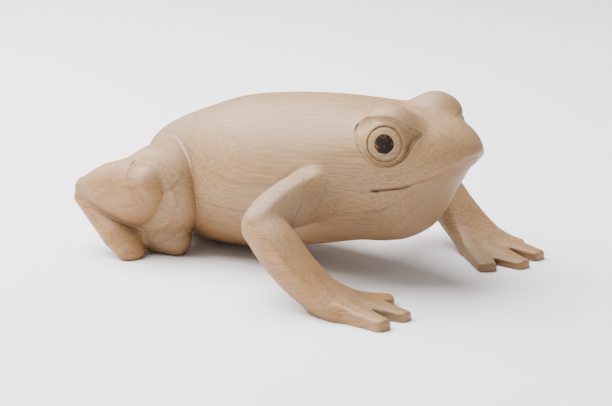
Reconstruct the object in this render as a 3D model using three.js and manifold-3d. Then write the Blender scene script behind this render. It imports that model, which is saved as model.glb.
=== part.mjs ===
// A crouching frog carved from one block of pale wood, with a dark round plug set in each eye.
// Millimetres, +Z up. The frog looks along +X and its left side is +Y. The floor is z = 0.
import * as THREE from "three";
import { mergeVertices } from "three/addons/utils/BufferGeometryUtils.js";
import Module from "manifold-3d";

const wasm = await Module();
wasm.setup();

// Body, from the tail end to the lips.
const TAIL = new THREE.Vector3(-92, 0, 30);
const LIPS = new THREE.Vector3(99, 0, 65.5);
const BODY_STEPS = 32;
const BODY_SIDES = 28;
// Sections across x: half the width, the back line, the underside, the height where the section is widest,
// and how square it is above and below that height (2 is an ellipse).
const BODY = [
  { x: -84, half: 18.5, top: 51.8, under: 9, wide: 29, squareTop: 2, squareUnder: 2 },
  { x: -74, half: 24.5, top: 58.8, under: 3.5, wide: 30, squareTop: 2, squareUnder: 2 },
  { x: -55, half: 31, top: 67.3, under: 1.4, wide: 33, squareTop: 2, squareUnder: 2 },
  { x: -33, half: 36.5, top: 75.3, under: 1.6, wide: 36, squareTop: 2, squareUnder: 2 },
  { x: -8, half: 39.5, top: 79.8, under: 5, wide: 40, squareTop: 2, squareUnder: 2 },
  { x: 20, half: 38.5, top: 82.3, under: 11, wide: 44, squareTop: 2.1, squareUnder: 2 },
  { x: 42, half: 36.5, top: 82.3, under: 16.5, wide: 49, squareTop: 2.4, squareUnder: 2.1 },
  { x: 60, half: 33, top: 81.3, under: 19.8, wide: 52, squareTop: 2.8, squareUnder: 2.5 },
  { x: 69, half: 30, top: 80.4, under: 23.5, wide: 53.5, squareTop: 2.8, squareUnder: 2.6 },
  { x: 77, half: 26.5, top: 79, under: 36.5, wide: 55.5, squareTop: 2.7, squareUnder: 2.2 },
  { x: 87, half: 20.5, top: 76.3, under: 51, wide: 58.5, squareTop: 2.4, squareUnder: 2 },
  { x: 94.5, half: 12.8, top: 72, under: 57.5, wide: 61.5, squareTop: 2.2, squareUnder: 2 },
];

// Limbs of the right side, as [x, y, z, half width, half height] along each.
const UPPER_ARM = [
  [33, -26, 43, 11, 13],
  [30, -44, 41.5, 10.5, 12],
  [27, -58, 38, 10, 10],
  [26, -65, 34, 9, 9],
];
const FOREARM = [
  [27, -65, 34, 9, 9.5],
  [36, -66.5, 27, 10, 10.5],
  [45, -66, 18, 10.5, 10],
  [56, -64, 9, 12, 8],
  [65, -62, 4, 13, 5.5],
];
const THIGH = [
  [-59, -15, 32.5, 24.5, 23],
  [-57.5, -36, 31.2, 23, 22.2],
  [-57.5, -41, 30.5, 21, 20.5],
  [-58, -44.5, 30, 17, 17],
];
const SHANK = [
  [-53, -45, 37.5, 10, 9.5],
  [-59, -44.5, 34.5, 12.5, 14.5],
  [-68, -44.5, 31.5, 12.5, 16.5],
  [-82, -45.5, 31, 11, 12.5],
  [-96.5, -47, 29.5, 6, 5.5],
];
const FOOT = [
  [-96, -48, 25.5, 5.5, 4.5],
  [-83, -47.5, 16.5, 8.5, 6.5],
  [-72, -48, 10, 10.5, 7.5],
  [-64, -51, 3.8, 7.5, 4.5],
];
const INNER_HIND_TOE = [
  [-76, -38, 15, 8, 9],
  [-62, -35, 11, 9, 11],
  [-49, -32, 6.3, 7, 7.5],
];

// The hand: a sawn palm with three tapering toes, its top falling from a ridge along the outer edge.
const PALM = [[51, 64], [56, 55.5], [63.5, 46.5], [76, 44], [84, 58], [84, 72.5], [66, 71], [57, 69.5]];
const TOE_ROOTS = [[68.5, 50.5, 6.2], [74, 52, 9], [74, 65, 7]];
const TOE_TIPS = {
  right: [[78.5, 37, 4.5], [97.5, 53, 3.5], [97, 70, 4]],
  left: [[88, 30.5, 4.5], [99.5, 45.5, 4], [98.5, 62.5, 4]],
};
const TOE_ROUNDING = 2.5;
const RIDGE = { x: [44, 56, 66, 77, 88, 102], z: [21, 14, 10.5, 8.2, 6.6, 5] };
const EDGE = { x: [44, 56, 66, 77, 102], z: [13, 8.2, 6.2, 5.4, 4.4] };
const RIDGE_Y = 71;
const HAND_FALL = 32; // width of the slope from the ridge to the inner edge

// The eye: a dome on the head, in a dished socket that runs to a point in front.
const EYE = { centre: [64.5, -19, 71.8], radius: [15.2, 14.4, 14.5] };
const EYE_FORWARD = THREE.MathUtils.degToRad(24);
const EYE_UP = THREE.MathUtils.degToRad(13);
const EYE_FACE = new THREE.Vector3(69.3, -31.5, 71.3);
const RING_RADIUS = 7.7;
const RING_GROOVE = 0.7;
const PUPIL_RADIUS = 4.1;
const PUPIL_DEPTH = 4;
const PUPIL_GAP = 0.3;
const EYEBALL = { radius: 8.7, skirt: 9.6, depth: 9, dome: 20, sides: 22 };
// The socket's edge and how deep its floor lies there, by the turn round the eye: 0 is forward and 90 up.
const SOCKET = [
  { turn: -165, edge: 12.5, floor: -7.1 },
  { turn: -147, edge: 11.4, floor: -6 },
  { turn: -124, edge: 11, floor: -5.4 },
  { turn: -106, edge: 10.5, floor: -5.1 },
  { turn: -91, edge: 10.2, floor: -4.9 },
  { turn: -75, edge: 10.2, floor: -4.7 },
  { turn: -59, edge: 10.3, floor: -4.4 },
  { turn: -35, edge: 11, floor: -4.5 },
  { turn: -12, edge: 12, floor: -5.4 },
  { turn: 3, edge: 13.6, floor: -6.4 },
  { turn: 17, edge: 16.5, floor: -8.8 },
  { turn: 36, edge: 13.2, floor: -5.4 },
  { turn: 50, edge: 12.2, floor: -4.1 },
  { turn: 75, edge: 12.1, floor: -3.6 },
  { turn: 100, edge: 12.5, floor: -4.4 },
  { turn: 120, edge: 13.8, floor: -7 },
  { turn: 137, edge: 15.8, floor: -11.5 },
  { turn: 152, edge: 16.6, floor: -12.6 },
  { turn: 166, edge: 15.6, floor: -10.2 },
  { turn: 180, edge: 13.9, floor: -8.3 },
];

// The mouth: a groove round the snout, by its heights along each cheek.
const MOUTH = { x: [62.5, 76, 86.5, 94, 97.6], z: [48.6, 51.2, 55.4, 60.4, 63.6] };
const MOUTH_GROOVE = 0.9;

const PALE_WOOD = 0xc8ac8c;
const DARK_WOOD = 0x33221a;
const FLOOR_SIZE = 400;

// The value at x of a smooth curve through the points (xs, ys).
function smooth(xs, ys, x) {
  const last = xs.length - 1;
  let i = 0;
  while (i < last - 1 && x > xs[i + 1]) {
    i += 1;
  }
  const slope = (k) => {
    const a = Math.max(k - 1, 0);
    const b = Math.min(k + 1, last);
    return (ys[b] - ys[a]) / (xs[b] - xs[a]);
  };
  const gap = xs[i + 1] - xs[i];
  const t = THREE.MathUtils.clamp((x - xs[i]) / gap, 0, 1);
  const u = 1 - t;
  return (
    ys[i] * (1 + 2 * t) * u * u +
    ys[i + 1] * (3 - 2 * t) * t * t +
    gap * t * u * (slope(i) * u - slope(i + 1) * t)
  );
}

// A geometry as a solid that can be joined and cut, turned right way out.
function solid(geometry) {
  const bare = new THREE.BufferGeometry();
  bare.setAttribute("position", geometry.getAttribute("position"));
  bare.setIndex(geometry.index);
  const merged = mergeVertices(bare, 1e-4);
  const triVerts = new Uint32Array(merged.index.array);
  const vertProperties = merged.attributes.position.array;
  const made = () => new wasm.Manifold(new wasm.Mesh({ numProp: 3, vertProperties, triVerts }));
  if (made().volume() < 0) {
    triVerts.reverse();
  }
  return made();
}

// A closed skin over rings of points, all with the same number of sides, ending in a point at each end.
function skin(start, rings, end) {
  const sides = rings[0].length;
  const points = [start, ...rings.flat(), end];
  const faces = [];
  const at = (ring, side) => 1 + ring * sides + (side % sides);
  for (let s = 0; s < sides; s += 1) {
    faces.push(0, at(0, s + 1), at(0, s));
    faces.push(points.length - 1, at(rings.length - 1, s), at(rings.length - 1, s + 1));
    for (let r = 0; r < rings.length - 1; r += 1) {
      faces.push(at(r, s), at(r, s + 1), at(r + 1, s + 1));
      faces.push(at(r, s), at(r + 1, s + 1), at(r + 1, s));
    }
  }
  return solid(new THREE.BufferGeometry().setFromPoints(points).setIndex(faces));
}

const power = (value, exponent) => Math.sign(value) * Math.abs(value) ** exponent;

// The body's sections, read at a turn that runs from -90 degrees at the tail to 90 degrees at the lips.
const MIDDLE = (TAIL.x + LIPS.x) / 2;
const REACH = (LIPS.x - TAIL.x) / 2;
const turnAt = (x) => Math.asin((x - MIDDLE) / REACH);

function section(turn) {
  const point = ({ x, z }) => ({ x, half: 0, top: z, under: z, wide: z, squareTop: 2, squareUnder: 2 });
  const rows = [point(TAIL), ...BODY, point(LIPS)];
  const turns = rows.map((row) => turnAt(row.x));
  const read = (name) => [name, smooth(turns, rows.map((row) => row[name]), turn)];
  return Object.fromEntries(Object.keys(BODY[0]).map(read));
}

// The body: superellipse rings across x, closer together towards both ends.
function body() {
  const rings = [];
  for (let i = 1; i < BODY_STEPS; i += 1) {
    const turn = Math.PI * (i / BODY_STEPS - 0.5);
    const { half, top, under, wide, squareTop, squareUnder } = section(turn);
    const ring = [];
    for (let s = 0; s < BODY_SIDES; s += 1) {
      const angle = (2 * Math.PI * s) / BODY_SIDES;
      const [height, square] = Math.sin(angle) > 0 ? [top - wide, squareTop] : [wide - under, squareUnder];
      const x = MIDDLE + REACH * Math.sin(turn);
      const y = half * power(Math.cos(angle), 2 / square);
      const z = wide + height * power(Math.sin(angle), 2 / square);
      ring.push(new THREE.Vector3(x, y, z));
    }
    rings.push(ring);
  }
  return skin(TAIL, rings, LIPS);
}

// How far the body's side is from the middle at x and a height z below the widest place.
function jawSide(x, z) {
  const { half, wide, under, squareUnder } = section(turnAt(x));
  return half * (1 - Math.max(0, (wide - z) / (wide - under)) ** squareUnder) ** (1 / squareUnder);
}

// A limb: rings along a smooth path, with rounded ends that reach past it by cap times the half width there.
// A square of 2 makes the rings elliptical, and more makes them squarer. A ridge runs along one corner of the
// rings, which stands out by rise.
function limb(rows, options = {}) {
  const { square = 2, sides = 12, steps = 8, cap = 0.8, capSteps = 3, ridge = -1, rise = 1 } = options;
  const points = rows.map(([x, y, z]) => new THREE.Vector3(x, y, z));
  const path = new THREE.CatmullRomCurve3(points, false, "centripetal");
  const last = rows.length - 1;
  const places = rows.map((_, i) => i);
  const ring = (t, push, shrink) => {
    const along = path.getTangent(t / last);
    const across = new THREE.Vector3(0, 0, 1).cross(along).normalize();
    const up = along.clone().cross(across);
    const centre = path.getPoint(t / last).addScaledVector(along, push);
    const [wide, high] = [3, 4].map((k) => shrink * smooth(places, rows.map((row) => row[k]), t));
    return Array.from({ length: sides }, (_, s) => {
      const angle = (2 * Math.PI * s) / sides;
      const out = s === ridge ? rise : 1;
      const point = centre.clone().addScaledVector(across, out * wide * power(Math.cos(angle), 2 / square));
      return point.addScaledVector(up, out * high * power(Math.sin(angle), 2 / square));
    });
  };
  const round = (t, sign) => {
    const reach = sign * cap * rows[t][3];
    const point = path.getPoint(t / last).addScaledVector(path.getTangent(t / last), reach);
    const angles = Array.from({ length: capSteps - 1 }, (_, i) => (Math.PI / 2) * ((i + 1) / capSteps));
    return { point, rings: angles.map((angle) => ring(t, reach * Math.cos(angle), Math.sin(angle))) };
  };
  const start = round(0, -1);
  const end = round(last, 1);
  const middle = Array.from({ length: steps + 1 }, (_, i) => ring((last * i) / steps, 0, 1));
  return skin(start.point, [...start.rings, ...middle, ...end.rings.reverse()], end.point);
}

function ellipsoid({ centre, radius }) {
  return solid(new THREE.SphereGeometry(1, 20, 16).scale(...radius).translate(...centre));
}

function extruded(shape, height) {
  return solid(new THREE.ExtrudeGeometry(shape, { depth: height, bevelEnabled: false }));
}

// A tapering toe seen from above, with a rounded square tip.
function toe([rootX, rootY, rootHalf], [tipX, tipY, tipHalf], height) {
  const length = Math.hypot(tipX - rootX, tipY - rootY);
  const shape = new THREE.Shape();
  shape.moveTo(0, -rootHalf);
  shape.lineTo(length - TOE_ROUNDING, -tipHalf);
  shape.quadraticCurveTo(length, -tipHalf, length, -tipHalf + TOE_ROUNDING);
  shape.lineTo(length, tipHalf - TOE_ROUNDING);
  shape.quadraticCurveTo(length, tipHalf, length - TOE_ROUNDING, tipHalf);
  shape.lineTo(0, rootHalf);
  const turn = THREE.MathUtils.radToDeg(Math.atan2(tipY - rootY, tipX - rootX));
  return extruded(shape, height).rotate([0, 0, turn]).translate([rootX, rootY, 0]);
}

// The height of the hand's top at x and the distance y from the middle of the frog.
function handTop(x, y) {
  const ridge = smooth(RIDGE.x, RIDGE.z, x);
  const edge = smooth(EDGE.x, EDGE.z, x);
  const down = THREE.MathUtils.clamp((RIDGE_Y - y) / HAND_FALL, -0.15, 1);
  return ridge - (ridge - edge) * Math.abs(down) ** 0.8;
}

// A solid over a rectangle of the floor, up to the height that top(x, y) gives.
function ground(x0, x1, y0, y1, top, steps = 6) {
  const box = new THREE.BoxGeometry(x1 - x0, y1 - y0, 1, steps, steps, 1);
  box.translate((x0 + x1) / 2, (y0 + y1) / 2, 0.5);
  const at = box.getAttribute("position");
  for (let i = 0; i < at.count; i += 1) {
    if (at.getZ(i) > 0.5) {
      at.setZ(i, top(at.getX(i), at.getY(i)));
    }
  }
  return solid(box);
}

// A hand on the left side of the frog.
function hand(tips) {
  const highest = RIDGE.z[0] + 1;
  const palm = extruded(new THREE.Shape(PALM.map(([x, y]) => new THREE.Vector2(x, y))), highest);
  const sawn = TOE_ROOTS.reduce((whole, root, i) => whole.add(toe(root, tips[i], highest)), palm);
  return sawn.intersect(ground(42, 104, 20, 80, handTop));
}

// A shape made along +Z from the origin, set on the right eye's face with +Z pointing out of it.
function onEye(piece) {
  const turnX = 90 - THREE.MathUtils.radToDeg(EYE_UP);
  const turnZ = THREE.MathUtils.radToDeg(EYE_FORWARD);
  return piece.rotate([turnX, 0, 0]).rotate([0, 0, turnZ]).translate(EYE_FACE.toArray());
}

// How high the eyeball's domed face is at a distance from its middle.
const face = (radius) => Math.sqrt(EYEBALL.dome ** 2 - radius ** 2) - EYEBALL.dome;

function turned(profile) {
  const points = profile.map(([radius, z]) => new THREE.Vector2(radius, z));
  return onEye(solid(new THREE.LatheGeometry(points, EYEBALL.sides).rotateX(Math.PI / 2)));
}

// The eyeball: a domed face with a groove round it and a hole for the pupil.
function eyeball() {
  const hole = PUPIL_RADIUS + PUPIL_GAP;
  const [inner, outer] = [RING_RADIUS - RING_GROOVE, RING_RADIUS + RING_GROOVE];
  return turned([
    [0, -EYEBALL.depth],
    [EYEBALL.skirt, -EYEBALL.depth],
    [EYEBALL.skirt, -PUPIL_DEPTH],
    [EYEBALL.radius, face(EYEBALL.radius) - 0.2],
    [outer, face(outer)],
    [RING_RADIUS, face(RING_RADIUS) - 1.2 * RING_GROOVE],
    [inner, face(inner)],
    [hole, face(hole)],
    [hole, -PUPIL_DEPTH],
    [0, -PUPIL_DEPTH],
  ]);
}

function pupil() {
  const middle = PUPIL_RADIUS / 2;
  return turned([
    [0, PUPIL_GAP - PUPIL_DEPTH],
    [PUPIL_RADIUS, PUPIL_GAP - PUPIL_DEPTH],
    [PUPIL_RADIUS, face(PUPIL_RADIUS)],
    [middle, face(middle)],
    [0, 0],
  ]);
}

// The space of the socket and of the eyeball in it: its floor slopes from the eyeball to the socket's edge.
function socket() {
  const { depth, radius } = EYEBALL;
  const ring = (distance, height) =>
    SOCKET.map((row) => {
      const turn = THREE.MathUtils.degToRad(row.turn);
      const reach = distance(row);
      return new THREE.Vector3(reach * Math.cos(turn), reach * Math.sin(turn), height(row));
    });
  const rings = [
    ring(() => radius - 0.3, () => 1 - depth),
    ring(() => radius - 0.3, () => face(radius) - 0.4),
    ring((row) => row.edge, (row) => row.floor),
    ring((row) => row.edge, () => depth),
  ];
  return onEye(skin(new THREE.Vector3(0, 0, 1 - depth), rings, new THREE.Vector3(0, 0, depth)));
}

function mouth() {
  const right = MOUTH.x.map((x, i) => [x, -jawSide(x, MOUTH.z[i]), MOUTH.z[i]]);
  const left = right.map(([x, y, z]) => [x, -y, z]).reverse();
  const lips = [LIPS.x, 0, LIPS.z - 1];
  const rows = [...right, lips, ...left].map((point) => [...point, MOUTH_GROOVE, MOUTH_GROOVE]);
  return limb(rows, { sides: 5, steps: 40 });
}

const mirrored = (piece) => piece.mirror([0, 1, 0]);
const both = (piece) => [piece, mirrored(piece)];

const joinedTo = (whole, piece) => whole.add(piece);
const cutFrom = (whole, piece) => whole.subtract(piece);

function frog() {
  const domed = both(ellipsoid(EYE)).reduce(joinedTo, body());
  const head = both(socket()).reduce(cutFrom, domed);
  const limbs = [
    eyeball(),
    limb(UPPER_ARM),
    limb(FOREARM, { square: 2.4, ridge: 5, rise: 1.1 }),
    limb(THIGH, { sides: 24, steps: 5, cap: 0.12, capSteps: 2 }),
    limb(SHANK, { sides: 16, cap: 0.6 }),
    limb(FOOT),
    limb(INNER_HIND_TOE),
  ].flatMap(both);
  const hands = [mirrored(hand(TOE_TIPS.right)), hand(TOE_TIPS.left)];
  const joined = [...limbs, ...hands].reduce(joinedTo, head);
  const floor = new THREE.BoxGeometry(FLOOR_SIZE, FLOOR_SIZE, FLOOR_SIZE).translate(0, 0, -FLOOR_SIZE / 2);
  return [mouth(), solid(floor)].reduce(cutFrom, joined);
}

function meshOf(name, piece, colour, roughness) {
  const { vertProperties, triVerts } = piece.getMesh();
  const geometry = new THREE.BufferGeometry();
  geometry.setAttribute("position", new THREE.BufferAttribute(vertProperties, 3));
  geometry.setIndex(new THREE.BufferAttribute(triVerts, 1));
  geometry.computeVertexNormals();
  const finish = new THREE.MeshStandardMaterial({ color: colour, roughness, metalness: 0 });
  const mesh = new THREE.Mesh(geometry, finish);
  mesh.name = name;
  return mesh;
}

const group = new THREE.Group();
group.add(
  meshOf("frog", frog(), PALE_WOOD, 0.55),
  meshOf("pupil_right", pupil(), DARK_WOOD, 0.5),
  meshOf("pupil_left", mirrored(pupil()), DARK_WOOD, 0.5),
);
export default group;
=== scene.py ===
import bpy
import numpy as np
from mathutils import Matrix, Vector


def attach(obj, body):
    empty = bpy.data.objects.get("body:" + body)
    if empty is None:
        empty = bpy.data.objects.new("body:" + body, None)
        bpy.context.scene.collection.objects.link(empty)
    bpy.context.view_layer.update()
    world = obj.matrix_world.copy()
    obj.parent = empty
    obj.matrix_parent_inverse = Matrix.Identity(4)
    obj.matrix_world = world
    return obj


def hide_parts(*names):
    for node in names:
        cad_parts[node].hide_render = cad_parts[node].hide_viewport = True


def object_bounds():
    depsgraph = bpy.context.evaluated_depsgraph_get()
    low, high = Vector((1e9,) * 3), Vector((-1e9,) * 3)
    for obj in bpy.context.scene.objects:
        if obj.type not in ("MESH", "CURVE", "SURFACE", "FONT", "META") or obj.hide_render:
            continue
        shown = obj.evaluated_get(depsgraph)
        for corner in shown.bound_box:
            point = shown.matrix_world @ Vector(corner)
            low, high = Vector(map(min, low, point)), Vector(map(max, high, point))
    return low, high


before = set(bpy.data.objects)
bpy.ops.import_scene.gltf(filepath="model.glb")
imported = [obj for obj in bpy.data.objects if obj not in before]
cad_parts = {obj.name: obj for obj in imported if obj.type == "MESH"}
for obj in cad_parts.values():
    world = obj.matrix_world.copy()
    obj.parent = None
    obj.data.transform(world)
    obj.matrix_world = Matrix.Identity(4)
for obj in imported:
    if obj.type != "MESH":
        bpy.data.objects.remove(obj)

solid_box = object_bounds()

MM = 0.001

# The body, from the tail end to the lips, as (x, height of its middle line).
TAIL = (-92, 30)
LIPS = (99, 65.5)
# Sections across x: x, half the width, the back line, the underside, the height where the section is widest,
# and how square it is above and below that height (2 is an ellipse).
BODY = [
    (-84, 18.5, 51.8, 9, 29, 2, 2),
    (-74, 24.5, 58.8, 3.5, 30, 2, 2),
    (-55, 31, 67.3, 1.4, 33, 2, 2),
    (-33, 36.5, 75.3, 1.6, 36, 2, 2),
    (-8, 39.5, 79.8, 5, 40, 2, 2),
    (20, 38.5, 82.3, 11, 44, 2.1, 2),
    (42, 36.5, 82.3, 16.5, 49, 2.4, 2.1),
    (60, 33, 81.3, 19.8, 52, 2.8, 2.5),
    (69, 30, 80.4, 23.5, 53.5, 2.8, 2.6),
    (77, 26.5, 79, 36.5, 55.5, 2.7, 2.2),
    (87, 20.5, 76.3, 51, 58.5, 2.4, 2),
    (94.5, 12.8, 72, 57.5, 61.5, 2.2, 2),
]

# The mouth: a thin line along each cheek, and from MOUTH_LIP on an upper lip that stands over the jaw.
MOUTH_X = [62.5, 76, 86.5, 94, 97.6, 101]
MOUTH_Z = [48.6, 51.2, 55.4, 60.4, 63.6, 64.4]
MOUTH_LINE_WIDTH = 0.5
MOUTH_LINE_DEPTH = 1.1
MOUTH_LIP = (74, 86)
LIP_DEPTH = 2
LIP_FADE = 5

# Limbs of the right side, as (x, y, z, half width, half height) along each.
UPPER_ARM = [
    (33, -26, 43, 11, 13),
    (30, -44, 41.5, 10.5, 12),
    (27, -58, 38, 10, 10),
    (26, -65, 34, 9, 9),
]
FOREARM = [
    (27, -65, 34, 9, 9.5),
    (36, -66.5, 27, 9.6, 10.2),
    (45, -66, 18, 9.9, 9.6),
    (56, -64, 9, 11.6, 7.8),
    (65, -62, 4, 13, 5.5),
]
THIGH = [
    (-58.2, -15, 32.5, 24.5, 23),
    (-57.84, -36, 30.86, 23, 22.2),
    (-57.76, -41, 30.47, 21, 20.5),
    (-57.7, -44.5, 30.2, 17, 17),
]
SHANK = [
    (-53, -45, 37.5, 10, 9.5),
    (-59, -44.5, 34.5, 12.5, 14.5),
    (-68, -44.5, 31.5, 12.5, 16.5),
    (-82, -45.5, 31, 11, 12.5),
    (-96.5, -47, 29.5, 6, 5.5),
]
FOOT = [
    (-96, -48, 25.5, 5.5, 4.5),
    (-83, -47.5, 16.5, 8.5, 6.5),
    (-72, -48, 10, 10.5, 7.5),
    (-64, -51, 3.8, 7.5, 4.5),
]
INNER_HIND_TOE = [
    (-76, -38, 15, 8, 9),
    (-62, -35, 11, 9, 11),
    (-49, -32, 6.3, 7, 7.5),
]

# The hand: a sawn palm with three tapering toes, as (x, y) and (x, y, half width) on the left side.
PALM = [(51, 64), (56, 55.5), (63.5, 46.5), (76, 44), (84, 58), (84, 72.5), (66, 71), (57, 69.5)]
TOE_ROOTS = [(68.5, 50.5, 6.2), (74, 52, 9), (74, 65, 7)]
TOE_TIPS_RIGHT = [(78.5, 37, 4.5), (97.5, 53, 3.5), (97, 70, 4)]
TOE_TIPS_LEFT = [(88, 30.5, 4.5), (99.5, 45.5, 4), (98.5, 62.5, 4)]
TOE_ROUNDING = 3
RIDGE_X = [44, 56, 66, 77, 88, 102]
RIDGE_Z = [21, 14, 10.5, 8.2, 6.6, 5]
EDGE_X = [44, 56, 66, 77, 102]
EDGE_Z = [13, 8.2, 6.2, 5.4, 4.4]
RIDGE_Y = 71
HAND_FALL = 32
WRIST = (55, 60)

# The eye: a dome on the head, and in its side a dished socket round a domed eyeball.
EYE_DOME = (64.5, -18.8, 71.8)
EYE_DOME_RADII = (14.5, 13.3, 14.4)
EYE_FORWARD = np.radians(24)
EYE_UP = np.radians(13)
EYE_FACE = np.array([69.3, -31.5, 71.3])
EYEBALL_DOME = 20
EYEBALL_RADIUS = 8.7
RING_RADIUS = 7.7
RING_WIDTH = 0.45
RING_DEPTH = 0.9
PUPIL_RADIUS = 4.1
PUPIL_DEPTH = 3.5
PUPIL_GAP = 0.12

FAR = 60.0


def smooth_curve(xs, ys, x):
    """A smooth curve through the points (xs, ys), read at x: between two points the cubic whose slope at each
    of them is the slope of the straight line between its neighbours."""
    xs, ys = np.asarray(xs, float), np.asarray(ys, float)
    last = len(xs) - 1
    before = np.maximum(np.arange(last + 1) - 1, 0)
    after = np.minimum(np.arange(last + 1) + 1, last)
    slope = (ys[after] - ys[before]) / (xs[after] - xs[before])
    i = np.clip(np.searchsorted(xs, x) - 1, 0, last - 1)
    gap = xs[i + 1] - xs[i]
    t = np.clip((x - xs[i]) / gap, 0, 1)
    u = 1 - t
    ends = ys[i] * (1 + 2 * t) * u * u + ys[i + 1] * (3 - 2 * t) * t * t
    return ends + gap * t * u * (slope[i] * u - slope[i + 1] * t)


def eased(low, high, x):
    """From 0 at low to 1 at high, with a level start and end: 3 t^2 - 2 t^3."""
    t = np.clip((x - low) / (high - low), 0, 1)
    return t * t * (3 - 2 * t)


def joined(a, b, fillet):
    """Two distances as one: the lower of them, less (fillet - |a - b|)^2 / (4 fillet) where they are closer
    than fillet, which rounds the corner between the two surfaces."""
    close = np.maximum(fillet - np.abs(a - b), 0)
    return np.minimum(a, b) - close * close / (4 * fillet)


def shared(a, b, fillet):
    """The space that two distances have in common, with its edge rounded as joined rounds a corner."""
    return -joined(-a, -b, fillet)


def cut(a, b, fillet):
    """The space of a that b doesn't take."""
    return shared(a, -b, fillet)


def ellipsoid(points, centre, radii):
    """Distance to an ellipsoid: k (k - 1) / |p / r^2|, with k the length of p / r."""
    p = (points - centre) / radii
    k = np.linalg.norm(p, axis=1)
    return k * (k - 1) / np.maximum(np.linalg.norm(p / radii, axis=1), 1e-6)


BODY_MIDDLE = (TAIL[0] + LIPS[0]) / 2
BODY_REACH = (LIPS[0] - TAIL[0]) / 2
TURNS = np.radians(np.linspace(-89, 89, 357))


def body_table():
    """The body's sections at even turns from tail to lips, where x is the sine of the turn. Widths and heights
    are divided by the turn's cosine, so that they stay finite where the body closes."""
    rows = [(TAIL[0], 0, TAIL[1], TAIL[1], TAIL[1], 2, 2), *BODY, (LIPS[0], 0, LIPS[1], LIPS[1], LIPS[1], 2, 2)]
    columns = np.array(rows, float).T
    turns = np.arcsin((columns[0] - BODY_MIDDLE) / BODY_REACH)
    half, top, under, wide, square_top, square_under = (smooth_curve(turns, c, TURNS) for c in columns[1:])
    cosine = np.cos(TURNS)
    return half / cosine, (top - wide) / cosine, (wide - under) / cosine, wide, square_top, square_under


BODY_TABLE = body_table()


def body(points):
    """Distance to the body: a long rounded form whose section at each turn is a superellipse,
    |y / half|^n + |height / high|^n = cos(turn)^n, divided by how steeply that form rises there."""
    along = (points[:, 0] - BODY_MIDDLE) / BODY_REACH
    turn = np.arcsin(np.clip(along, -1, 1))
    half, above, below, wide, square_top, square_under = (np.interp(turn, TURNS, c) for c in BODY_TABLE)
    up = points[:, 2] - wide
    high = np.where(up > 0, above, below)
    square = np.where(up > 0, square_top, square_under)
    out = (np.abs(points[:, 1] / half) ** square + np.abs(up / high) ** square) ** (1 / square)
    size = np.maximum(np.hypot(along, out), 1e-6)
    full = np.hypot(points[:, 1], up) / np.maximum(out, 1e-6)
    steep = np.hypot(along / BODY_REACH, out / np.maximum(full, 1e-6)) / size
    return (size - 1) / steep


def mouth(points):
    """How far the mouth is let into the body: a line whose depth falls off as exp(-(h / width)^2) with the
    height h from it, and a step under the upper lip that fades as exp(-h / fade) below it."""
    x, z = points[:, 0], points[:, 2]
    below = smooth_curve(MOUTH_X, MOUTH_Z, x) - z
    begins = eased(MOUTH_X[0] - 1, MOUTH_X[0] + 1.5, x)
    line = MOUTH_LINE_DEPTH * np.exp(-((below / MOUTH_LINE_WIDTH) ** 2)) * begins
    lip = LIP_DEPTH * eased(*MOUTH_LIP, x) * np.exp(-np.maximum(below, 0) / LIP_FADE) * eased(-0.4, 0.4, below)
    return np.where(x > MOUTH_X[0] - 2, np.maximum(line, lip), 0)


def path_of(table, places, steps=6):
    """Evenly read samples of a limb's path: its centres, directions, and sideways and upward directions, on
    smooth curves through the rows of its table, which lie at those places along it."""
    reads = np.linspace(0, places[-1], steps * (len(table) - 1) + 1)
    centre = np.stack([smooth_curve(places, table[:, k], reads) for k in range(3)], 1)
    along = np.gradient(centre, axis=0)
    along /= np.linalg.norm(along, axis=1)[:, None]
    side = np.cross((0, 0, 1), along)
    side /= np.linalg.norm(side, axis=1)[:, None]
    return np.hstack([centre, along, side, np.cross(along, side)])


def limb(points, rows, square=2.0, cap=0.8, ridges=()):
    """Distance to a limb: at the nearest place of its path, superellipse sections of the path's half width and
    height, closed by rounded ends cap times as long as they are wide. A ridge (turn, rise, spread) lifts the
    section by rise at that turn, falling off on both sides as exp(-turn / spread)."""
    table = np.array(rows, float)
    places = np.r_[0, np.cumsum(np.linalg.norm(np.diff(table[:, :3], axis=0), axis=1))]
    path = path_of(table, places)
    room = table[:, 3:].max() + 12
    centres = path[:, :3]
    close = np.all((points > centres.min(0) - room) & (points < centres.max(0) + room), axis=1)
    p = points[close]
    best = np.full(len(p), np.inf)
    place = np.zeros(len(p))
    for i in range(len(path) - 1):
        step = centres[i + 1] - centres[i]
        t = np.clip((p - centres[i]) @ step / (step @ step), 0, 1)
        gap = np.linalg.norm(p - centres[i] - t[:, None] * step, axis=1)
        nearer = gap < best
        best = np.where(nearer, gap, best)
        place = np.where(nearer, i + t, place)
    i = np.minimum(place.astype(int), len(path) - 2)
    t = (place - i)[:, None]
    there = path[i] * (1 - t) + path[i + 1] * t
    offset = p - there[:, :3]
    beyond, side, up = (np.sum(offset * there[:, k:k + 3], axis=1) for k in (3, 6, 9))
    read = place / (len(path) - 1) * places[-1]
    wide, high = (smooth_curve(places, table[:, k], read) for k in (3, 4))
    beyond = np.where((place <= 0) | (place >= len(path) - 1), beyond / (cap * wide), 0)
    size = (np.abs(side / wide) ** square + np.abs(up / high) ** square + np.abs(beyond) ** square) ** (1 / square)
    turn = np.arctan2(up / high, side / wide)
    for at, rise, spread in ridges:
        away = np.abs((turn - at + np.pi) % (2 * np.pi) - np.pi)
        size = size / (1 + rise * np.exp(-(np.hypot(away, 0.08) - 0.08) / spread))
    size = np.maximum(size, 1e-6)
    distance = np.full(len(points), FAR)
    distance[close] = np.linalg.norm(offset, axis=1) * (1 - 1 / size)
    return distance


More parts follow.
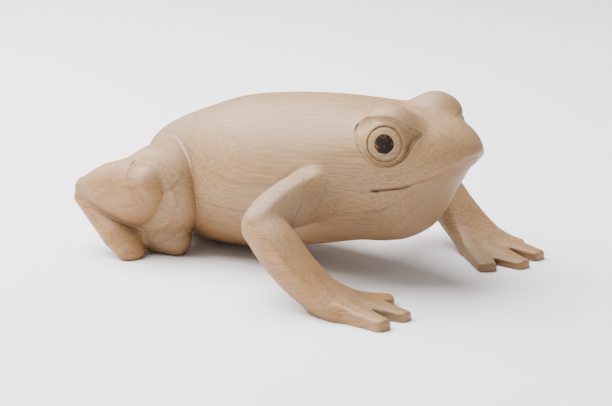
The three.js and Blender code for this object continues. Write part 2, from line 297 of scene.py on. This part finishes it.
def hand_top(x, y, tips):
    """Height of the hand's top: it falls from a ridge along the outer edge to the inner edge as the 0.8th power
    of the way across, and a low crest runs from the wrist to each toe's tip."""
    ridge = smooth_curve(RIDGE_X, RIDGE_Z, x)
    edge = smooth_curve(EDGE_X, EDGE_Z, x)
    down = np.clip((RIDGE_Y - y) / HAND_FALL, -0.15, 1)
    top = ridge - (ridge - edge) * np.abs(down) ** 0.8
    for tip_x, tip_y, _ in tips:
        run_x, run_y = tip_x - WRIST[0], tip_y - WRIST[1]
        length = np.hypot(run_x, run_y)
        across = ((x - WRIST[0]) * run_y - (y - WRIST[1]) * run_x) / length
        along = ((x - WRIST[0]) * run_x + (y - WRIST[1]) * run_y) / length
        crest = np.exp(-((across / 3.2) ** 2)) * eased(4, 16, along)
        top = top + 0.9 * crest - 0.45 * eased(4, 16, along)
    return top


def toe(x, y, root, tip):
    """Distance in plan to a toe: straight sides that taper from its root to its tip, and a rounded end."""
    run = np.array([tip[0] - root[0], tip[1] - root[1]], float)
    length = np.hypot(*run)
    along = ((x - root[0]) * run[0] + (y - root[1]) * run[1]) / length
    across = ((x - root[0]) * run[1] - (y - root[1]) * run[0]) / length
    half = root[2] + (tip[2] - root[2]) * np.clip(along / length, 0, 1)
    return np.maximum(shared(np.abs(across) - half, along - length, TOE_ROUNDING), -along)


def hand(points, tips):
    """Distance to a hand of the left side: the plan of palm and toes, and below its top."""
    x, y, z = points.T
    plan = np.full(len(x), -FAR)
    for (x0, y0), (x1, y1) in zip(PALM, PALM[1:] + PALM[:1]):
        edge = ((x - x0) * (y1 - y0) - (y - y0) * (x1 - x0)) / np.hypot(x1 - x0, y1 - y0)
        plan = shared(plan, edge, 2)
    for root, tip in zip(TOE_ROOTS, tips):
        plan = joined(plan, toe(x, y, root, tip), 1.2)
    return shared(plan, z - hand_top(x, y, tips), 1.6)


def eye_view(points):
    """Places seen along the right eye's axis: forward, up and out from the middle of its face."""
    out = np.array([
        np.sin(EYE_FORWARD) * np.cos(EYE_UP), -np.cos(EYE_FORWARD) * np.cos(EYE_UP), np.sin(EYE_UP)
    ])
    forward = np.array([np.cos(EYE_FORWARD), np.sin(EYE_FORWARD), 0])
    return (points - EYE_FACE) @ np.stack([forward, np.cross(out, forward), out], 1)


# The socket by the turn round the eye, where 0 is forward and 90 up: how far out its edge is, how high the edge
# lies, and how deep the trench between edge and eyeball is.
SOCKET_TURNS = [-180, -165, -147, -124, -91, -59, -35, -12, 3, 17, 36, 50, 75, 100, 120, 137, 152, 166, 180]
SOCKET_EDGE = [
    13.9, 12.5, 11.4, 11, 10.2, 10.3, 11, 12, 13.6, 16.5, 13.2, 12.2, 12.1, 12.5, 13.8, 15.8, 16.6, 15.6, 13.9
]
SOCKET_HEIGHT = [
    -7.1, -6, -5.1, -4.6, -4.1, -3.7, -3.6, -4, -4.8, -7.2, -3.9, -2.6, -2.2, -2.8, -5.3, -10.8, -12.2, -9, -7.1
]
SOCKET_TRENCH = [
    1.3, 1.2, 1, 0.8, 0.7, 0.8, 1, 1.5, 1.9, 1.7, 1.1, 0.7, 0.4, 0.5, 0.8, 1.3, 1.6, 1.5, 1.3
]


def eye(points, head):
    """The head with its eye: inside the socket's edge the surface is a height over the eye's axis. It is a
    domed eyeball with a thin ring let into it, and round it a trench that rises to the socket's edge: the
    straight line to the edge less depth * sin(pi run^1.3), where run goes from 0 to 1 across it."""
    forward, up, out = eye_view(points).T
    radius = np.hypot(forward, up)
    turn = np.degrees(np.arctan2(up, forward))
    edge = smooth_curve(SOCKET_TURNS, SOCKET_EDGE, turn)
    level_there = smooth_curve(SOCKET_TURNS, SOCKET_HEIGHT, turn)
    depth = smooth_curve(SOCKET_TURNS, SOCKET_TRENCH, turn)
    dome = np.sqrt(np.maximum(EYEBALL_DOME ** 2 - radius ** 2, 1)) - EYEBALL_DOME
    rim = np.sqrt(EYEBALL_DOME ** 2 - EYEBALL_RADIUS ** 2) - EYEBALL_DOME
    run = np.clip((radius - EYEBALL_RADIUS) / (edge - EYEBALL_RADIUS), 0, 1)
    slope = rim + (level_there - rim) * run - depth * np.sin(np.pi * run ** 1.3)
    height = np.where(radius < EYEBALL_RADIUS, dome, slope)
    height = height - RING_DEPTH * np.exp(-(((radius - RING_RADIUS) / RING_WIDTH) ** 2))
    inside = radius - edge
    surface = out - height
    kept = np.maximum(shared(inside, surface, 0.3), -10 - out)
    opened = np.maximum(shared(inside, -surface, 0.3), out - 12)
    head = cut(joined(head, kept, 0.5), opened, 0.5)
    pupil = np.maximum(radius - PUPIL_RADIUS - PUPIL_GAP, np.maximum(-PUPIL_DEPTH - out, out - 5))
    return cut(head, pupil, 0.15)


def frog(points):
    """Distance to the frog's surface, negative inside. Both sides are alike but for the toes of the hands."""
    side = points * (1, 0, 1) - np.abs(points) * (0, 1, 0)
    head = joined(body(side) + mouth(side), ellipsoid(side, EYE_DOME, EYE_DOME_RADII), 5)
    whole = eye(side, head)
    drum = limb(side, THIGH, cap=0.12)
    shank = limb(side, SHANK, cap=0.6)
    leg = joined(drum, shank, 3)
    leg = joined(leg, limb(side, FOOT), 1.2)
    leg = joined(leg, limb(side, INNER_HIND_TOE), 4)
    whole = joined(whole, leg, 1)
    upper = limb(side, UPPER_ARM, ridges=[(np.radians(55), 0.11, 0.35)])
    whole = joined(whole, upper, 2 + 4 * eased(26, 42, side[:, 0]))
    forearm = limb(side, FOREARM, square=2.2, ridges=[(np.radians(154), 0.16, 0.35)])
    whole = joined(whole, forearm, 2.5)
    mirrored = side * (1, -1, 1)
    hands = np.where(points[:, 1] < 0, hand(mirrored, TOE_TIPS_RIGHT), hand(mirrored, TOE_TIPS_LEFT))
    whole = joined(whole, hands, 6)
    return np.maximum(whole, -points[:, 2])


def read_in_parts(field, points, size=200000):
    """The field at many points, some at a time."""
    return np.concatenate([field(points[i:i + size]) for i in range(0, len(points), size)])


def level(field, low, high, cell, coarse=4):
    """The zero level of a field, as points and four-sided faces that look outwards. The field is read on a
    coarse grid, then on the fine grid where the surface is near. Each fine cell that the surface crosses gets
    a point in the middle of its crossings, and each crossed edge of the grid gets a face between its cells."""
    blocks = np.ceil((np.array(high) - low) / (cell * coarse)).astype(int)
    counts = blocks * coarse + 1

    def places(index, spacing):
        return np.array(low, float) + np.stack(index, 1) * spacing

    corners = np.indices(blocks + 1).reshape(3, -1)
    wide = read_in_parts(field, places(corners, cell * coarse)).reshape(blocks + 1)
    nearest = np.full(blocks, np.inf)
    for dx, dy, dz in np.ndindex(2, 2, 2):
        part = wide[dx:dx + blocks[0], dy:dy + blocks[1], dz:dz + blocks[2]]
        nearest = np.minimum(nearest, np.abs(part))
    near = nearest < 1.3 * cell * coarse
    values = wide
    for axis in range(3):
        values = values.repeat(coarse, axis).take(np.arange(counts[axis]), axis)
        near = near.repeat(coarse, axis)
    wanted = np.zeros(counts, bool)
    for dx, dy, dz in np.ndindex(2, 2, 2):
        wanted[dx:dx + near.shape[0], dy:dy + near.shape[1], dz:dz + near.shape[2]] |= near
    values[wanted] = read_in_parts(field, places(np.nonzero(wanted), cell))

    inside = values < 0
    cells = counts - 1
    held = np.zeros(cells, int)
    for dx, dy, dz in np.ndindex(2, 2, 2):
        held += inside[dx:dx + cells[0], dy:dy + cells[1], dz:dz + cells[2]]
    crossed = np.nonzero((held > 0) & (held < 8))
    number = np.full(cells, -1)
    number[crossed] = np.arange(len(crossed[0]))
    total = np.zeros((len(crossed[0]), 3))
    found = np.zeros(len(crossed[0]))
    for axis in range(3):
        for a, b in np.ndindex(2, 2):
            start = np.insert([a, b], axis, 0)
            stop = np.insert([a, b], axis, 1)
            first = values[tuple(c + s for c, s in zip(crossed, start))]
            second = values[tuple(c + s for c, s in zip(crossed, stop))]
            hit = (first < 0) != (second < 0)
            t = np.where(hit, first / np.where(hit, first - second, 1), 0)
            total += hit[:, None] * (start + t[:, None] * (stop - start))
            found += hit
    points = places(crossed, cell) + total / found[:, None] * cell

    faces = []
    for axis in range(3):
        one, two = [(1, 2), (2, 0), (0, 1)][axis]
        low_end = inside.take(range(counts[axis] - 1), axis)
        high_end = inside.take(range(1, counts[axis]), axis)
        at = np.stack(np.nonzero(low_end != high_end))
        shift = np.eye(3, dtype=int)
        corners = ((1, 1), (0, 1), (0, 0), (1, 0))
        ring = [at - shift[:, one:one + 1] * u - shift[:, two:two + 1] * v for u, v in corners]
        quad = np.stack([number[tuple(r)] for r in ring], 1)
        leaving = low_end[tuple(at)]
        faces.append(np.where(leaving[:, None], quad, quad[:, ::-1]))
    return points, np.concatenate(faces)


def slope_of(field, points, step=0.05):
    """The field's value and its slope in each direction, from its values a small step to either side."""
    value = read_in_parts(field, points)
    rise = [
        read_in_parts(field, points + step * axis) - read_in_parts(field, points - step * axis)
        for axis in np.eye(3)
    ]
    return value, np.stack(rise, 1) / (2 * step)


def settled(field, points, rounds=2, longest=0.6):
    """Points moved along the field's slope onto its zero level, no further than longest in a round."""
    for _ in range(rounds):
        value, slope = slope_of(field, points)
        steep = np.maximum(np.sum(slope * slope, axis=1), 0.1)
        move = np.clip(value / steep, -longest, longest)
        points = points - move[:, None] * slope
    return points


def refined(points, triangles, lengths):
    """Triangles with a point put in the middle of each edge that is longer than its two ends allow. A triangle
    with one, two or three such edges becomes two, three or four."""
    ends = np.sort(triangles[:, [0, 1, 1, 2, 2, 0]].reshape(-1, 2), axis=1)
    edges, which = np.unique(ends, axis=0, return_inverse=True)
    a, b = edges.T
    long = np.linalg.norm(points[a] - points[b], axis=1) > np.minimum(lengths[a], lengths[b])
    middle = np.where(long, len(points) + np.cumsum(long) - 1, -1)
    points = np.concatenate([points, (points[a] + points[b])[long] / 2])
    marks = middle[which.reshape(-1)].reshape(-1, 3)
    count = (marks >= 0).sum(axis=1)
    turn = np.where(count == 1, np.argmax(marks >= 0, axis=1), (np.argmin(marks, axis=1) + 1) % 3)
    order = (np.arange(3) + turn[:, None]) % 3
    v = np.take_along_axis(triangles, order, axis=1).T
    m = np.take_along_axis(marks, order, axis=1).T
    patterns = {
        0: [(v[0], v[1], v[2])],
        1: [(v[0], m[0], v[2]), (m[0], v[1], v[2])],
        2: [(m[0], v[1], m[1]), (v[0], m[0], m[1]), (v[0], m[1], v[2])],
        3: [(v[0], m[0], m[2]), (m[0], v[1], m[1]), (m[2], m[1], v[2]), (m[0], m[1], m[2])],
    }
    pieces = [np.stack(corner, 1)[count == n] for n, corners in patterns.items() for corner in corners]
    return points, np.concatenate(pieces)


def mesh_object(name, points, faces, attributes=()):
    """A smooth-shaded object of that name, its points given in millimetres."""
    mesh = bpy.data.meshes.new(name)
    mesh.vertices.add(len(points))
    mesh.vertices.foreach_set("co", (points * MM).astype(np.float32).ravel())
    mesh.loops.add(faces.size)
    mesh.loops.foreach_set("vertex_index", faces.astype(np.int32).ravel())
    mesh.polygons.add(len(faces))
    mesh.polygons.foreach_set("loop_start", np.arange(0, faces.size, faces.shape[1], dtype=np.int32))
    mesh.update(calc_edges=True)
    mesh.validate()
    mesh.polygons.foreach_set("use_smooth", np.ones(len(faces), bool))
    for key, values in attributes:
        layer = mesh.attributes.new(key, "FLOAT", "POINT")
        layer.data.foreach_set("value", values.astype(np.float32))
    piece = bpy.data.objects.new(name, mesh)
    bpy.context.scene.collection.objects.link(piece)
    return piece


CELL = 1.5
COARSEST = 2.2
FINEST = 0.5
BEND = np.radians(12.5)


def carving():
    """The frog's mesh, kept inside the solid's box: its zero level, with its triangles halved until none turns
    by more than BEND over its length or is shorter than FINEST. Each point has how closed in it is, close by
    and further off, and how far it faces down; the wood's colour paints shade from these."""
    low, high = (-103.3, -79.4, -2.9), (103, 79, 89)
    points, quads = level(frog, low, high, CELL)
    points = settled(frog, points)
    triangles = np.concatenate([quads[:, [0, 1, 2]], quads[:, [0, 2, 3]]])
    for _ in range(3):
        slope = slope_of(frog, points)[1]
        normal = slope / np.maximum(np.linalg.norm(slope, axis=1), 1e-6)[:, None]
        ends = triangles[:, [0, 1, 1, 2, 2, 0]].reshape(-1, 2)
        turned = np.arccos(np.clip(np.sum(normal[ends[:, 0]] * normal[ends[:, 1]], axis=1), -1, 1))
        most = np.zeros(len(points))
        np.maximum.at(most, ends.ravel(), turned.repeat(2))
        lengths = np.clip(COARSEST * BEND / np.maximum(most, 1e-6), FINEST, COARSEST)
        points, triangles = refined(points, triangles, lengths)
        points = settled(frog, points)
    slope = slope_of(frog, points)[1]
    normal = slope / np.maximum(np.linalg.norm(slope, axis=1), 1e-6)[:, None]
    # How far each point faces down and how closed in it is: the wood's colour uses these for painted shade.
    attributes = [("under", np.clip(-normal[:, 2], 0, 1))]
    for name, reach in (("crease", 2.5), ("hollow", 8)):
        closed = 1 - read_in_parts(frog, points + reach * normal) / reach
        attributes.append((name, np.clip(closed, 0, 1)))
    return np.clip(points, *(np.array(solid_box) / MM)), triangles, attributes


def pupil(side):
    """A round plug on the eye's axis: rings from its bottom over its rounded edge to the middle of its top."""
    profile = [(0, -PUPIL_DEPTH + 0.1), (PUPIL_RADIUS, -PUPIL_DEPTH + 0.1), (PUPIL_RADIUS, -0.75)]
    profile += [(PUPIL_RADIUS - 0.1, -0.55), (PUPIL_RADIUS - 0.3, -0.46), (2.8, -0.25), (1.4, -0.08), (0, -0.02)]
    radius, out = np.array(profile).T
    sides = 64
    turn = np.linspace(0, 2 * np.pi, sides, endpoint=False)
    rings = np.stack(np.broadcast_arrays(
        radius[1:-1, None] * np.cos(turn), radius[1:-1, None] * np.sin(turn), out[1:-1, None]
    ), 2).reshape(-1, 3)
    local = np.concatenate([rings, [(0, 0, out[0]), (0, 0, out[-1])]])
    here, after = np.arange(sides), np.roll(np.arange(sides), -1)
    walls = [np.stack([k * sides + here, k * sides + after, (k + 1) * sides + after, (k + 1) * sides + here], 1)
             for k in range(len(profile) - 3)]
    walls = np.concatenate(walls)
    last = len(profile) - 3
    bottom, top = len(rings), len(rings) + 1
    triangles = np.concatenate([
        walls[:, [0, 1, 2]], walls[:, [0, 2, 3]],
        np.stack([np.full(sides, bottom), after, here], 1),
        np.stack([np.full(sides, top), last * sides + here, last * sides + after], 1),
    ])
    axes = np.linalg.inv(eye_view(np.eye(3) + EYE_FACE))
    points = local @ axes + EYE_FACE
    if side > 0:
        points = points * (1, -1, 1)
        triangles = triangles[:, ::-1]
    return points, triangles


class Nodes:
    """A material's nodes, each made and joined in one call."""

    def __init__(self, name):
        self.material = bpy.data.materials.new(name)
        self.material.use_nodes = True
        self.tree = self.material.node_tree
        self.shader = self.tree.nodes["Principled BSDF"]

    def link(self, source, socket):
        self.tree.links.new(source, socket)

    def add(self, kind, output=0, settings=(), **inputs):
        """A node of that kind, its settings and inputs given by name. Returns one of its outputs."""
        node = self.tree.nodes.new(kind)
        for key, value in dict(settings).items():
            setattr(node, key, value)
        for key, value in inputs.items():
            socket = node.inputs[int(key[1:])] if key[1:].isdigit() else node.inputs[key.replace("_", " ")]
            if isinstance(value, bpy.types.NodeSocket):
                self.link(value, socket)
            else:
                socket.default_value = value
        return node.outputs[output]

    def math(self, operation, a, b=0.0):
        return self.add("ShaderNodeMath", settings={"operation": operation}, _0=a, _1=b)

    def ramp(self, value, low, high, start=0.0, end=1.0):
        """From start to end as value goes from low to high, eased at both ends."""
        return self.add("ShaderNodeMapRange", settings={"interpolation_type": "SMOOTHSTEP"},
                        Value=value, From_Min=low, From_Max=high, To_Min=start, To_Max=end)

    def mix(self, share, one, two, kind="MIX"):
        """Two colours mixed by share."""
        settings = {"data_type": "RGBA", "blend_type": kind}
        return self.add("ShaderNodeMix", 2, settings, _0=share, _6=one, _7=two)

    def noise(self, place, scale, detail=2.0, roughness=0.5, output=0):
        return self.add("ShaderNodeTexNoise", output, Vector=place, Scale=scale, Detail=detail, Roughness=roughness)

    def stretched(self, place, factors):
        return self.add("ShaderNodeVectorMath", settings={"operation": "MULTIPLY"}, _0=place, _1=factors)


PITH = (0.0, 0.030, -0.020)
PITH_TILT = (0.0, np.radians(-4), np.radians(3))
RING_SPACING = 0.0095
# Two small nicks in the right cheek, at the corner of the mouth and below it, drawn only as dark spots of painted
# shade: middle and reach.
NICKS = [
    ((0.0645, -0.0315, 0.0487), (0.0026, 0.006, 0.0008)),
    ((0.0646, -0.0295, 0.0396), (0.0014, 0.006, 0.0005)),
]


def wood():
    """Pale close-grained wood: growth rings round a pith that runs lengthwise and fine fibres along it, greyer in
    patches above, and warmer and darker below, partly its own tone and partly painted shade. Painted shade also
    darkens faces that look down, the hollows and the creases."""
    n = Nodes("pale_wood")
    place = n.add("ShaderNodeTexCoord", 3)
    centred = n.add("ShaderNodeMapping", settings={"vector_type": "TEXTURE"},
                    Vector=place, Location=PITH, Rotation=PITH_TILT)
    wander = n.noise(n.stretched(centred, (9, 26, 26)), 1, 1.5, 0.5, output=1)
    wander = n.add("ShaderNodeVectorMath", settings={"operation": "SUBTRACT"}, _0=wander, _1=(0.5, 0.5, 0.5))
    wander = n.stretched(wander, (0, 0.009, 0.009))
    warped = n.add("ShaderNodeVectorMath", settings={"operation": "ADD"}, _0=centred, _1=wander)
    across = n.stretched(warped, (0.0, 1, 1))
    radius = n.add("ShaderNodeVectorMath", 1, settings={"operation": "LENGTH"}, _0=across)
    phase = n.math("FRACT", n.math("DIVIDE", radius, RING_SPACING))
    line = n.math("MULTIPLY", n.ramp(phase, 0.8, 0.96), n.ramp(phase, 0.96, 1.0, 1.0, 0.0))
    faint = n.ramp(n.noise(n.stretched(warped, (8, 60, 60)), 1, 2), 0.35, 0.7)
    line = n.math("MULTIPLY", line, faint)

    fibres = n.noise(n.stretched(warped, (60, 1400, 1400)), 1, 3, 0.6)
    flecks = n.noise(n.stretched(warped, (260, 2600, 2600)), 1, 2, 0.5)
    clouds = n.noise(n.stretched(place, (14, 22, 22)), 1, 3, 0.55)

    split = n.add("ShaderNodeSeparateXYZ", Vector=place)
    height = split.node.outputs[2]
    # Lower down the wood is warmer and a little darker: partly its own warmer tone, partly painted shade.
    low = n.ramp(n.math("ADD", height, n.math("MULTIPLY", clouds, 0.03)), 0.028, 0.072, 1.0, 0.0)
    colour = n.mix(low, (0.325, 0.190, 0.085, 1), (0.315, 0.165, 0.064, 1))
    colour = n.mix(n.ramp(clouds, 0.3, 0.75), colour, (0.285, 0.184, 0.098, 1))
    warm = n.ramp(n.noise(n.stretched(place, (20, 30, 30)), 1, 3), 0.48, 0.66)
    warm = n.math("MULTIPLY", warm, n.ramp(height, 0.03, 0.062, 0.6, 0.1))
    colour = n.mix(warm, colour, (0.36, 0.17, 0.055, 1))
    # Painted shade: the colour darkens on faces that look down, in hollows and in tight creases.
    for name, start, end, share, darker in (
        ("under", 0.0, 0.9, 0.75, (0.20, 0.098, 0.036, 1)),
        ("hollow", 0.12, 0.75, 0.55, (0.165, 0.098, 0.052, 1)),
        ("crease", 0.35, 1.0, 0.45, (0.10, 0.055, 0.027, 1)),
    ):
        closed = n.add("ShaderNodeAttribute", 2, settings={"attribute_name": name})
        colour = n.mix(n.ramp(closed, start, end, 0.0, share), colour, darker)
    colour = n.mix(n.math("MULTIPLY", line, 0.5), colour, (0.16, 0.09, 0.045, 1))
    # Painted shade of the two nicks: dark spots in place of cuts in the mesh.
    for nick, reach in NICKS:
        away = n.add("ShaderNodeVectorMath", settings={"operation": "SUBTRACT"}, _0=place, _1=nick)
        away = n.add("ShaderNodeVectorMath", settings={"operation": "DIVIDE"}, _0=away, _1=reach)
        away = n.add("ShaderNodeVectorMath", 1, settings={"operation": "LENGTH"}, _0=away)
        colour = n.mix(n.ramp(away, 0.4, 1.0, 0.7, 0.0), colour, (0.03, 0.018, 0.01, 1))
    tone = n.ramp(fibres, 0.25, 0.75, 0.72, 1.2)
    grey = n.add("ShaderNodeCombineColor", Red=tone, Green=tone, Blue=tone)
    colour = n.mix(1.0, colour, grey, "MULTIPLY")
    n.link(colour, n.shader.inputs["Base Color"])

    uneven = n.math("ADD", n.math("MULTIPLY", fibres, 0.6), n.math("MULTIPLY", clouds, 0.4))
    n.link(n.ramp(uneven, 0.3, 0.7, 0.42, 0.6), n.shader.inputs["Roughness"])
    n.shader.inputs["Specular IOR Level"].default_value = 0.4
    relief = n.math("ADD", n.math("MULTIPLY", fibres, 0.5), n.math("MULTIPLY", flecks, 0.25))
    relief = n.math("SUBTRACT", relief, n.math("MULTIPLY", line, 0.35))
    bump = n.add("ShaderNodeBump", Height=relief, Strength=0.25, Distance=0.00025)
    n.link(bump, n.shader.inputs["Normal"])
    return n.material


def dark_plug():
    """Dark end grain: near black brown, with light pores in fine dots."""
    n = Nodes("dark_plug")
    place = n.add("ShaderNodeTexCoord", 3)
    pores = n.add("ShaderNodeTexVoronoi", Vector=place, Scale=1400)
    dots = n.ramp(pores, 0.2, 0.45, 1.0, 0.0)
    some = n.ramp(n.noise(place, 700, 2), 0.45, 0.62)
    share = n.math("MULTIPLY", dots, some)
    colour = n.mix(share, (0.008, 0.004, 0.002, 1), (0.34, 0.17, 0.07, 1))
    n.link(colour, n.shader.inputs["Base Color"])
    n.shader.inputs["Roughness"].default_value = 0.6
    n.shader.inputs["Specular IOR Level"].default_value = 0.2
    bump = n.add("ShaderNodeBump", Height=dots, Strength=0.3, Distance=0.0002)
    n.link(bump, n.shader.inputs["Normal"])
    return n.material


def plain(name, colour, roughness):
    n = Nodes(name)
    n.shader.inputs["Base Color"].default_value = (*colour, 1)
    n.shader.inputs["Roughness"].default_value = roughness
    return n.material


def add_frog():
    piece = mesh_object("carved_frog", *carving())
    piece.data.materials.append(wood())
    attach(piece, "root")
    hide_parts("frog")


def add_pupils():
    finish = dark_plug()
    for side, name in ((-1, "right"), (1, "left")):
        piece = mesh_object(f"eye_plug_{name}", *pupil(side))
        piece.data.materials.append(finish)
        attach(piece, "root")
        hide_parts(f"pupil_{name}")


CAMERA_AZIMUTH = np.radians(36)
CAMERA_ELEVATION = np.radians(15)
CAMERA_TARGET = Vector((0.021, -0.0237, 0.035))
CAMERA_DISTANCE = 0.9
CAMERA_LENS = 113.85

SKY_STRENGTH = 0.5
LAMP_PLACE = (-0.5, -0.1, 0.9)
LAMP_SIZE = (1.3, 1.3)
LAMP_POWER = 62
FLOOR_REACH = 3000
FLOOR_DROP = 0.02
FLOOR_SHADE = 0.9


def add_camera():
    """The camera looks at its target from an azimuth where 0 looks along +Y, and an elevation."""
    level_way = np.cos(CAMERA_ELEVATION)
    back = Vector((
        np.sin(CAMERA_AZIMUTH) * level_way, -np.cos(CAMERA_AZIMUTH) * level_way, np.sin(CAMERA_ELEVATION)
    ))
    data = bpy.data.cameras.new("camera")
    data.lens = CAMERA_LENS
    data.sensor_width = 36
    data.clip_start = 0.01
    camera = bpy.data.objects.new("camera", data)
    camera.location = CAMERA_TARGET + CAMERA_DISTANCE * back
    camera.rotation_euler = back.to_track_quat("Z", "Y").to_euler()
    bpy.context.scene.collection.objects.link(camera)
    bpy.context.scene.camera = camera


def add_area_light(name, place, target, size, power, colour=(1, 1, 1)):
    data = bpy.data.lights.new(name, "AREA")
    data.shape = "RECTANGLE"
    data.size, data.size_y = size
    data.energy = power
    data.color = colour
    light = bpy.data.objects.new(name, data)
    light.location = place
    light.rotation_euler = (Vector(place) - Vector(target)).to_track_quat("Z", "Y").to_euler()
    bpy.context.scene.collection.objects.link(light)


def add_studio():
    """A pale floor under a large soft light from above and a pale sky all round."""
    world = bpy.data.worlds.new("studio")
    world.use_nodes = True
    background = world.node_tree.nodes["Background"]
    background.inputs["Color"].default_value = (1, 1, 1, 1)
    background.inputs["Strength"].default_value = SKY_STRENGTH
    bpy.context.scene.world = world
    add_area_light("overhead", LAMP_PLACE, (0, 0, 0), LAMP_SIZE, LAMP_POWER)
    corners = np.array([(-1, -1), (1, -1), (1, 1), (-1, 1)]) * FLOOR_REACH
    corners = np.hstack([corners, np.full((4, 1), -FLOOR_DROP)])
    floor = mesh_object("floor", corners, np.array([[0, 1, 2, 3]]))
    floor.data.materials.append(plain("pale_floor", (FLOOR_SHADE, FLOOR_SHADE, FLOOR_SHADE), 0.7))


add_frog()
add_pupils()
add_camera()
add_studio()
